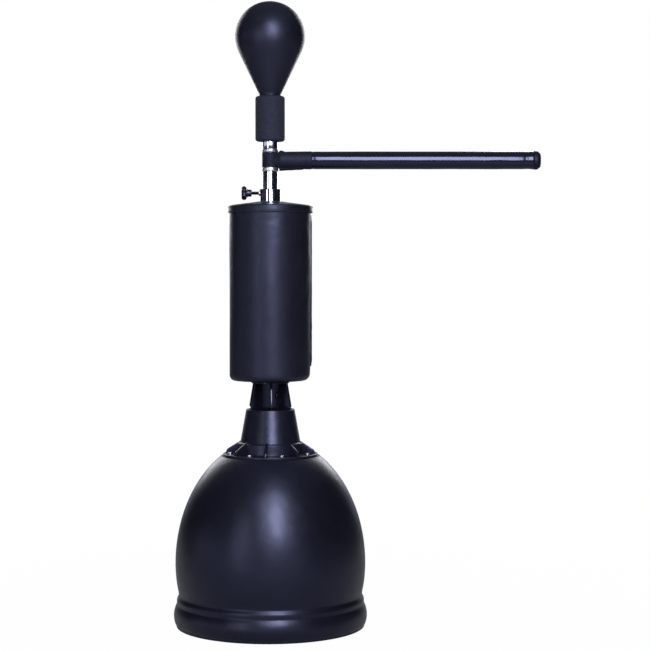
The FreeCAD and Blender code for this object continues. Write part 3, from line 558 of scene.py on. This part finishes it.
def bagOutline(inset, hole, rows, lows=9):
    radius, low, rim = bag["radius"] - inset, bag["lowZ"] + inset, bag["rimZ"] - inset
    lowRound, rimRound = bag["lowRound"] - inset, bag["rimRound"] - inset * 0.8
    crown = bag["crownZ"] - inset
    points = [(hole + (radius - lowRound - hole) * k / lows, low) for k in range(lows + 1)]
    points += bow(points[-1], (radius, low), (radius, low + lowRound), 5)[1:]
    start, end = low + lowRound, rim - rimRound
    points += [(radius, start + (end - start) * k / rows) for k in range(1, rows)]
    points += bow((radius, end), (radius, rim), (radius - rimRound, rim), 4)
    inward = radius - rimRound
    points += [(inward + (hole - inward) * k / lows, rim + (crown - rim) * k / lows) for k in range(1, lows + 1)]
    return points


def bagAngle(co):
    return math.degrees(math.atan2(co.x, -co.y)) % 360


bm = bmesh.new()
lathe(bm, bagOutline(bag["inset"], bag["hole"], bag["rows"]), bag["steps"], closed=False)
bagCover = build("bagCover", bm, bagFinish, None, ["bag_cover"], sharp=180)
held = []
for vert in bagCover.data.vertices:
    co = vert.co / mm
    reach = math.hypot(co.x, co.y)
    atHem = abs(co.z - bag["hemLow"]) < 3.4 or co.z > bag["hemTop"] - 2
    atClosure = abs(bagAngle(co) - bag["closure"]) < 2.5
    if reach < bag["radius"] - bag["lowRound"] - 4 or atHem or atClosure:
        held.append(vert.index)
puff(bagCover, held, 4.0, bag["cap"], 0.004)
for vert in bagCover.data.vertices:  # drag lines under the hem, dents beside the closure and slow waves
    co = vert.co / mm
    reach = math.hypot(co.x, co.y)
    if reach < 60:
        continue
    angle = math.radians(bagAngle(co))
    outward = Vector((co.x, co.y, 0)) / reach
    side = min(1.0, max(0.0, (reach - 70) / 20))
    slow = noise.noise(Vector((math.sin(angle) * 1.5, math.cos(angle) * 1.5, co.z / 95))) * 0.9
    belowHem = max(0.0, 1 - (bag["hemLow"] - co.z) / 90) if co.z < bag["hemLow"] else 0.0
    drag = noise.noise(Vector((math.sin(angle) * 2.2 + 7, math.cos(angle) * 2.2, co.z / 15))) * 0.8 * belowHem
    toClosure = max(0.0, 1 - abs(math.degrees(angle) - bag["closure"]) / 16)
    tug = noise.noise(Vector((co.z / 30, math.degrees(angle) / 15, 3.1))) * 1.3 * toClosure ** 1.5
    groove = -0.5 * bell(co.z, bag["hemLow"], 2.6)
    tuck = -5.0 * bell(math.degrees(angle), bag["closure"], 34)
    tuck *= max(0.0, 1 - (co.z - bag["lowZ"]) / 55) ** 2  # the lap is pulled in under the bag
    vert.co += outward * (max(bag["deepest"], slow + drag + tug + groove) + tuck) * side * mm
smoothOnce(bagCover)
thicken(bagCover, bag["skin"])
bake(bagCover)
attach(bagCover, "root")

bm = bmesh.new()
hemBand = {"low": 982.2, "top": 998.6, "proud": 0.5, "flare": 1.3}
radius = bag["radius"] + hemBand["proud"]


def lapFlare(angle):
    # the lapped end of the hem stands off on the closure's side
    return hemBand["flare"] * bell(math.degrees(angle), 95, 26)


lathe(bm, [(radius - 2.6, hemBand["low"]), (radius - 0.5, hemBand["low"], 0.5), (radius, 987), (radius, 994),
           (radius - 0.7, hemBand["top"], 0.5), (radius - 2.6, hemBand["top"])], 144)
for vert in bm.verts:
    angle = math.atan2(vert.co.x, -vert.co.y)
    wave = 0.35 * noise.noise(Vector((math.sin(angle) * 4, math.cos(angle) * 4, vert.co.z / 20)))
    outward = Vector((vert.co.x, vert.co.y, 0)).normalized()
    vert.co += outward * (wave + lapFlare(angle))
build("bagHem", bm, bagFinish, "root")

stitch = {"length": 3.4, "width": 0.9, "count": 124}
bm = bmesh.new()
for z in (984.6, 996.2):
    made = block(bm, (stitch["length"], stitch["width"], stitch["width"]), (0, -(bag["radius"] + 1.55), z), 0.3)
    ringOf(bm, made, stitch["count"])
for vert in bm.verts:
    angle = math.atan2(vert.co.x, -vert.co.y)
    outward = Vector((vert.co.x, vert.co.y, 0)).normalized()
    vert.co += outward * lapFlare(angle)
build("bagHemStitches", bm, threadFinish, "root")

# Closure flap: a strip of the same cloth, sewn down along its front edge and loose along the other.
flap = {"low": 618.0, "top": 978.0, "span": 24.0, "rows": 90, "columns": 12, "thickness": 1.3}
bm = bmesh.new()
bmesh.ops.create_grid(bm, x_segments=flap["columns"], y_segments=flap["rows"], size=0.5)
for vert in bm.verts:
    across, up = vert.co.x + 0.5, vert.co.y + 0.5
    z = flap["low"] + (flap["top"] - flap["low"]) * up
    angle = bag["closure"] + (across - 0.5) * flap["span"]
    angle += 1.6 * noise.noise(Vector((z / 42, 8.2, 0))) * across
    lift = 0.5 + 1.6 * across ** 2 * (0.5 + noise.noise(Vector((z / 24, 1.7, 0))))
    lift += 0.6 * noise.noise(Vector((z / 16, across * 3, 5)))
    ends = min(1.0, (z - flap["low"]) / 16, (flap["top"] - z) / 16)  # both ends are sewn under
    radius = bag["radius"] + max(0.2, lift) * ends - 1.2 * (1 - ends)
    angle = math.radians(angle)
    vert.co = Vector((radius * math.sin(angle), -radius * math.cos(angle), z))
closure = build("bagFlap", bm, bagFinish, "root", ["bag_closure"], sharp=180)
thicken(closure, flap["thickness"])
bake(closure)
smoothOnce(closure)

bm = bmesh.new()
lathe(bm, bagOutline(bag["coreInset"], bag["coreHole"], 12, 3) + [(bag["coreHole"], 1006.0)], 64)
bagCore = build("bagCore", bm, coreFinish, "root", ["bag_foam"])
print("bag made")

# Arm: foam tube, a glossy cover with a sewn end and a moulded cap, and the webbing sleeve round the hub.
arm = {"z": 1107.0, "cover": 21.8, "start": 97.0, "sewnX": 603, "ringsX": (605, 613), "capX": 624.0, "foam": 20.0,
       "rod": 11.05, "rows": 132, "steps": 40, "cap": 2.0}
armTurn = along(0, 0, arm["z"], (1, 0, 0))
bm = bmesh.new()
length = arm["capX"] - arm["start"]
radius = arm["cover"] - 0.7
outline = [(arm["foam"], arm["start"] + 0.3), (radius - 0.9, arm["start"] + 0.2)]
outline += [(radius, arm["start"] + 1.5 + (length - 2.0) * k / arm["rows"]) for k in range(arm["rows"] + 1)]
outline += [(radius - 1.0, arm["capX"] - 0.1), (arm["foam"], arm["capX"] - 0.1)]
lathe(bm, outline, arm["steps"], armTurn, closed=False)
armCover = build("armCover", bm, armFinish, None, ["arm_cover"], sharp=180)
held = []
for vert in armCover.data.vertices:
    co = vert.co / mm
    angle = math.degrees(math.atan2(co.z - arm["z"], co.y))
    if co.x < arm["start"] + 3 or co.x > arm["sewnX"] or abs(angle - 60) < 5:
        held.append(vert.index)
puff(armCover, held, 2.5, arm["cap"], 0.0, 14)
for vert in armCover.data.vertices:
    co = vert.co / mm
    outward = Vector((0, co.y, co.z - arm["z"]))
    if outward.length < 20.4:
        continue
    around = math.atan2(co.z - arm["z"], co.y)
    slow = 0.3 * noise.noise(Vector((co.x / 95, math.sin(around) * 0.9, math.cos(around) * 0.9)))
    loose = 0.1 + 0.35 * min(1.0, max(0.0, (co.x - 470) / 90))  # the cloth is slacker near the arm's end
    slow += loose * noise.noise(Vector((co.x / 36, math.sin(around) * 1.3, math.cos(around) * 1.3 + 4)))
    seams = sum(-0.9 * bell(co.x, x, 1.9) for x in arm["ringsX"]) - 0.8 * bell(co.x, 101, 2.0)
    tail = 0.5 * min(1.0, max(0.0, (co.x - arm["ringsX"][1]) / 6))
    vert.co += outward.normalized() * (slow + seams + tail) * mm
smoothOnce(armCover)
bake(armCover)
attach(armCover, "arm")

bm = bmesh.new()
lathe(bm, [(arm["rod"], 34.0), (arm["foam"], 34.0, 1.5), (arm["foam"], arm["capX"]), (arm["rod"], arm["capX"])], 48,
      armTurn)
armCore = build("armCore", bm, coreFinish, "arm", ["arm_foam"])

bm = bmesh.new()
lathe(bm, [(0, 603.5), (9.3, 603.5, 0.8), (9.3, 623.9), (21.7, 623.9, 1.0), (22.0, 627), (21.7, 633.0, 1.2),
           (16.2, 640.0, 1.2), (0, 640.0)], 72, armTurn, closed=False)
build("armCap", bm, armCapFinish, "arm", ["arm_end_cap"])

sleeve = {"radius": 21.3, "hub": 19.2, "hubBore": 18.05, "hubLow": 1091.0, "hubTop": 1125.5, "ribs": 8,
          "ribRows": 6, "ringGap": 0.6, "skin": 1.0}
bm = bmesh.new()
tall = sleeve["hubTop"] - sleeve["hubLow"]
rows = sleeve["ribs"] * sleeve["ribRows"]
outline = [(sleeve["hubBore"], sleeve["hubLow"])]
for k in range(rows + 1):
    z = sleeve["hubLow"] + 0.4 + (tall - 0.8) * k / rows
    outline.append((sleeve["hub"] - 0.55 + 0.45 * abs(math.sin(math.pi * k / sleeve["ribRows"])), z))
outline.append((sleeve["hubBore"], sleeve["hubTop"]))
lathe(bm, outline, 72)
for vert in bm.verts:
    co = vert.co
    if math.hypot(co.x, co.y) > 18.3:
        wobble = 0.35 * noise.noise(Vector((co.x / 9, co.y / 9, co.z / 30)))
        co.x *= 1 + wobble / 19
        co.y *= 1 + wobble / 19
build("hubWebbing", bm, webbingFinish, "arm", ["arm_wrap"], sharp=60)

bm = bmesh.new()
outline = [(17.0, 9.0), (17.4, 13.0), (18.6, 18.0), (19.8, 22.5)]
outline += [(20.4 + 0.02 * k, 25.0 + 1.5 * k) for k in range(48)] + [(21.4, 97.0), (21.0, 98.4), (20.1, 98.4)]
made = lathe(bm, outline, 64, armTurn, closed=False)
for vert in made:
    co = vert.co
    up = co.z - arm["z"]
    reach = math.hypot(co.y, up)
    flare = max(0.0, 1 - abs(co.x - 26) / 9)
    steep = abs(up) / max(reach, 1e-6)
    lift = 3.4 * flare ** 0.7 * max(0.0, (steep - 0.72) / 0.28) ** 1.3
    crease = 0.45 * noise.noise(Vector((co.x / 14, co.y / 12, co.z / 12)))
    flatten = 1 - 0.16 * min(1.0, max(0.0, (24 - co.x) / 12))  # the strap is flat where it leaves the hub
    co.y *= flatten
    grown = 1 + (lift + crease) / max(reach, 1)
    co.y *= grown
    co.z = arm["z"] + up * grown
    if co.x < 21.5:  # clear of the retaining rings
        co.z = min(sleeve["hubTop"] - sleeve["ringGap"], max(sleeve["hubLow"] + sleeve["ringGap"], co.z))
armSleeve = build("armSleeve", bm, sleeveFinish, "arm", sharp=60)
thicken(armSleeve, sleeve["skin"])
bake(armSleeve)
smoothOnce(armSleeve)

# the strap's loose lower edge, a tongue that hangs just under the sleeve
tongue = {"start": 22.0, "end": 78.0, "front": -13.0, "width": 22.0, "thickness": 1.2}
bm = bmesh.new()
bmesh.ops.create_grid(bm, x_segments=26, y_segments=8, size=0.5)
for vert in bm.verts:
    run, down = vert.co.x + 0.5, vert.co.y + 0.5
    x = tongue["start"] + (tongue["end"] - tongue["start"]) * run
    y = tongue["front"] + tongue["width"] * down
    drop = 2.6 * (1 - run) ** 1.2 + 0.5 * noise.noise(Vector((x / 15, y / 10, 2)))
    under = math.sqrt(max(0.0, (sleeve["radius"] + 0.4) ** 2 - y * y))
    vert.co = Vector((x, y, arm["z"] - under - drop))
tongueFlap = build("sleeveTongue", bm, webbingFinish, "arm", sharp=180)
thicken(tongueFlap, tongue["thickness"], 0)
bake(tongueFlap)
print("arm made")

# Ball: a pear of leathercloth over its bladder, and the foam grip and spring that carry it.
ball = {"radius": 82.6, "z": 1399.0, "half": 25.9, "neckZ": 1259.0, "skin": 2.0, "bladder": 2.6, "steps": 96}


def pear(inset, low, count):
    radius, slope = ball["radius"] - inset, math.radians(ball["half"])
    apex = ball["z"] - radius / math.sin(slope)
    touchZ = ball["z"] - radius * math.sin(slope)
    cone = [(math.tan(slope) * (z - apex), z) for z in [low + (touchZ - low) * k / 14 for k in range(14)]]
    return cone + oval((0, ball["z"]), (radius, radius), -ball["half"], 90, count)


bm = bmesh.new()
outer = pear(0.0, ball["neckZ"] + 3.0, 40)
outer = [(17.0, ball["neckZ"]), (outer[0][0] - 1.0, ball["neckZ"]), (outer[0][0] + 0.2, ball["neckZ"] + 1.2)] + outer
lathe(bm, outer[:-1] + [(0, ball["z"] + ball["radius"])], ball["steps"], closed=False)
inner = pear(ball["skin"], 1291.5, 24)
made = lathe(bm, [(0, 1291.5)] + inner[:-1] + [(0, ball["z"] + ball["radius"] - ball["skin"])], 64, closed=False)
bmesh.ops.reverse_faces(bm, faces=list({f for v in made for f in v.link_faces}))
lathe(bm, [(5.6, ball["neckZ"]), (17.0, ball["neckZ"]), (17.0, ball["neckZ"] + 2), (5.6, ball["neckZ"] + 2)], 64)
ballSkin = build("ballSkin", bm, ballFinish, "ball", ["ball_cover"], sharp=40)

valveTilt = math.radians(40)
valveWay = Vector((0, math.sin(valveTilt), math.cos(valveTilt)))
bm = bmesh.new()
valvePlace = Vector((0, 0, ball["z"])) + valveWay * ball["radius"]
lathe(bm, [(0, -13), (3.4, -13), (3.4, -3), (5.6, -1.2), (5.6, -0.2, 0.3), (4.4, 0.5, 0.3), (1.3, 0.5, 0.3), (0.9, -2),
           (0, -2)], 40, along(*valvePlace, valveWay), closed=False)
build("ballValve", bm, rubberFinish, "ball", ["ball_valve"])
bm = bmesh.new()
inner = pear(ball["bladder"], 1292.0, 24)
lathe(bm, [(0, 1292.0)] + inner[:-1] + [(0, ball["z"] + ball["radius"] - ball["bladder"])], 64, closed=False)
build("ballBladder", bm, rubberFinish, "ball", ["ball_bladder"])

# the neck's two halves, each with a pair of bodies and a span of heights; only the halves' names are read below
bends = {"Lower": (("pole", "neck"), 1163.0, 1204.5), "Upper": (("neck", "ball"), 1204.5, 1246.0)}


def blendNeck(piece):
    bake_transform(piece)


grip = {"low": 1151.5, "top": 1258.5, "middle": 1204.5, "radius": 35.0, "bore": 18.4, "round": 6.5, "rows": 26}
for part, low, top in (("Lower", grip["low"], grip["middle"]), ("Upper", grip["middle"], grip["top"])):
    bm = bmesh.new()
    radius, soft = grip["radius"], grip["round"]
    first, last = [(radius, low)], [(radius, top)]
    if part == "Lower":
        first = bow((radius - soft, low), (radius, low), (radius, low + soft), 5)
    else:
        last = bow((radius, top - soft), (radius, top), (radius - soft, top), 5)
    side = [first[-1][1] + (last[0][1] - first[-1][1]) * k / grip["rows"] for k in range(1, grip["rows"])]
    inside = [(grip["bore"], top + (low - top) * k / grip["rows"]) for k in range(grip["rows"] + 1)]
    lathe(bm, first + [(radius, z) for z in side] + last + inside, 72)
    half = build("grip" + part, bm, gripFinish, None, ["foam_grip"], sharp=50)
    blendNeck(half)

spring = {"mean": 15.0, "wire": 2.2, "low": 1165.5, "top": 1243.5, "turns": 15, "perTurn": 28}
turns = spring["turns"] / 2
rise = (spring["top"] - spring["low"]) / spring["turns"]
for first, part in enumerate(bends):
    bm = bmesh.new()
    ring = bmesh.ops.create_circle(bm, segments=12, radius=spring["wire"], cap_ends=True)["verts"]
    lift = spring["low"] + first * turns * rise
    wireEnd = Matrix.Rotation(first * turns * turn, 4, "Z") @ Matrix.Translation((spring["mean"], 0, lift))
    bmesh.ops.transform(bm, matrix=wireEnd @ Matrix.Rotation(math.pi / 2, 4, "X"), verts=ring)
    steps = int(turns * spring["perTurn"])
    geom = list(bm.verts) + list(bm.edges) + list(bm.faces)
    bmesh.ops.spin(bm, geom=geom, cent=(0, 0, 0), axis=(0, 0, 1), dvec=(0, 0, turns * rise / steps),
                   angle=turns * turn, steps=steps, use_duplicate=False)
    bmesh.ops.recalc_face_normals(bm, faces=bm.faces)
    half = build("spring" + part, bm, springFinish, None, ["ball_spring"], sharp=50)
    blendNeck(half)
print("ball made")


# ---- CAD nodes that stay as they are ----

kept = {"thread_inserts": brassFinish, "flange_washers": zincFinish, "flange_screws": zincFinish,
        "cross_bolt": blackSteelFinish, "cross_bolt_nut": blackSteelFinish, "guide_bush": nylonFinish,
        "clamp_insert": zincFinish, "clamp_tip": nylonFinish, "tube_glide": nylonFinish, "bag_liner": linerFinish,
        "spindle": turnedFinish, "ring_set_screws": blackSteelFinish, "lower_hub_bush": nylonFinish,
        "upper_hub_bush": nylonFinish, "arm_hub": turnedFinish, "arm_rod": turnedFinish,
        "lower_spring_seat": turnedFinish, "upper_spring_seat": turnedFinish, "ball_stud": zincFinish,
        "neck_plug": capFinish, "fill_cap_seal": rubberFinish}
for name, made in kept.items():
    node = nodes[name]
    if not node.material_slots:
        node.data.materials.append(made)
    for place in node.material_slots:
        place.material = made


# ---- studio ----

studio = {"floorSize": 12.0, "key": (0.5, -2.9, 2.2), "keySize": (1.1, 2.2), "keyPower": 130,
          "fill": (-1.9, -2.9, 1.15), "fillSize": (0.8, 1.9), "fillPower": 16,
          "rear": ((1.25, 3.0, 1.9), (-1.5, 2.8, 1.9)), "rearSize": (0.9, 2.0), "rearPower": 24,
          "aim": (0.05, 0, 0.8), "rearAim": (0.05, 0, 0.7), "diffuse": 0.25, "sides": 0.012,
          "backdrop": (0.92 - 0.12, 0.92 + 0.06), "roomWay": (0.15, -0.98, 0.1), "roomSpan": (0.74, 0.97),
          "roomLevel": 0.13, "ceiling": 0.22, "ceilingSpan": (0.45, 0.95), "paper": 0.42,
          "stripWay": (-0.446, -0.895, 0), "stripSpan": (0.22, 0.34), "stripHeight": 0.06, "stripEdge": (0.05, 0.1),
          "stripLevel": 1.0, "tint": (0.8, 0.83, 1, 1)}
bm = bmesh.new()
bmesh.ops.create_circle(bm, cap_ends=True, segments=96, radius=studio["floorSize"] / mm)
bmesh.ops.translate(bm, vec=(0, 0, -0.5), verts=bm.verts)
floorLook = bpy.data.materials.new("white paper sweep")
floorLook.use_nodes = True
tree = floorLook.node_tree
tree.nodes.clear()
coords = addNode(tree, "TexCoord").outputs["Object"]
away = addNode(tree, "VectorMath", {}, {0: coords}, operation="LENGTH").outputs["Value"]
far = fade(tree, away, (0.5, 2.2), (0.985, 1.0), smooth=False)
isCamera = addNode(tree, "LightPath").outputs["Is Camera Ray"]
share = joined(tree, "MULTIPLY", far, isCamera)
paper = addNode(tree, "BsdfDiffuse", {"Color": (studio["paper"],) * 3 + (1,)}).outputs[0]
white = addNode(tree, "Emission", {"Color": (1, 1, 1, 1), "Strength": 1.0}).outputs[0]
both = addNode(tree, "MixShader", {}, {0: share, 1: paper, 2: white}).outputs[0]
addNode(tree, "OutputMaterial", {}, {0: both})
floor = build("studioFloor", bm, floorLook)

world = bpy.data.worlds.new("studio")
bpy.context.scene.world = world
world.use_nodes = True
tree = world.node_tree
tree.nodes.clear()
rays = addNode(tree, "LightPath").outputs
way = addNode(tree, "TexCoord").outputs["Generated"]
behind = addNode(tree, "SeparateXYZ", {}, {0: way}).outputs["Y"]
# the lit backdrop behind the object, and the pale room behind the camera, are what black gloss and chrome mirror
wall = fade(tree, behind, studio["backdrop"], (studio["sides"], 1.0), smooth=False)
facing = addNode(tree, "VectorMath", {1: studio["roomWay"]}, {0: way}, operation="DOT_PRODUCT").outputs["Value"]
room = fade(tree, facing, studio["roomSpan"], (0.0, studio["roomLevel"]))
# a long low strip of light, from the left round to the front, is the white band down the chrome
toStrip = addNode(tree, "VectorMath", {1: studio["stripWay"]}, {0: way}, operation="DOT_PRODUCT").outputs["Value"]
stripLong = fade(tree, toStrip, studio["stripSpan"])
height = addNode(tree, "SeparateXYZ", {}, {0: way}).outputs["Z"]
above = fade(tree, height, studio["ceilingSpan"], (0.0, studio["ceiling"]))
offStrip = joined(tree, "ABSOLUTE", joined(tree, "SUBTRACT", height, studio["stripHeight"]))
stripThin = fade(tree, offStrip, studio["stripEdge"], (studio["stripLevel"], 0.0))
around = joined(tree, "MAXIMUM", wall, room)
around = joined(tree, "MAXIMUM", around, joined(tree, "MULTIPLY", stripLong, stripThin))
around = joined(tree, "MAXIMUM", around, above)
mirrored = addNode(tree, "Mix", {2: studio["diffuse"]}, {0: rays["Is Glossy Ray"], 3: around},
                   data_type="FLOAT").outputs[0]
seen = joined(tree, "MAXIMUM", rays["Is Camera Ray"], rays["Is Transmission Ray"])
level = addNode(tree, "Mix", {3: 1.0}, {0: seen, 2: mirrored}, data_type="FLOAT").outputs[0]
tint = addNode(tree, "Mix", {6: studio["tint"], 7: (1, 1, 1, 1)}, {0: seen}, data_type="RGBA").outputs[2]
sky = addNode(tree, "Background", {}, {"Color": tint, "Strength": level})
addNode(tree, "OutputWorld", {}, {0: sky.outputs[0]})


def lamp(name, place, aim, size, power):
    light = bpy.data.lights.new(name, "AREA")
    light.shape, light.size, light.size_y, light.energy = "RECTANGLE", size[0], size[1], power
    stand = bpy.data.objects.new(name, light)
    stand.location = place
    stand.rotation_euler = (Vector(aim) - Vector(place)).to_track_quat("-Z", "Y").to_euler()
    stand.visible_camera = False
    bpy.context.scene.collection.objects.link(stand)


lamp("softbox", studio["key"], studio["aim"], studio["keySize"], studio["keyPower"])
lamp("fill", studio["fill"], studio["aim"], studio["fillSize"], studio["fillPower"])
for place in studio["rear"]:
    lamp("rear softbox", place, studio["rearAim"], studio["rearSize"], studio["rearPower"])

view = {"place": (0.13, -4.25, 0.857), "tilt": 90 - 1.89, "lens": 99.1, "sensor": 36.0}
camera = bpy.data.objects.new("camera", bpy.data.cameras.new("camera"))
camera.location = view["place"]
camera.rotation_euler = (math.radians(view["tilt"]), 0, 0)
camera.data.lens, camera.data.sensor_width = view["lens"], view["sensor"]
bpy.context.scene.collection.objects.link(camera)
bpy.context.scene.camera = camera
bpy.context.scene.view_settings.view_transform = "Standard"

print("studio made")
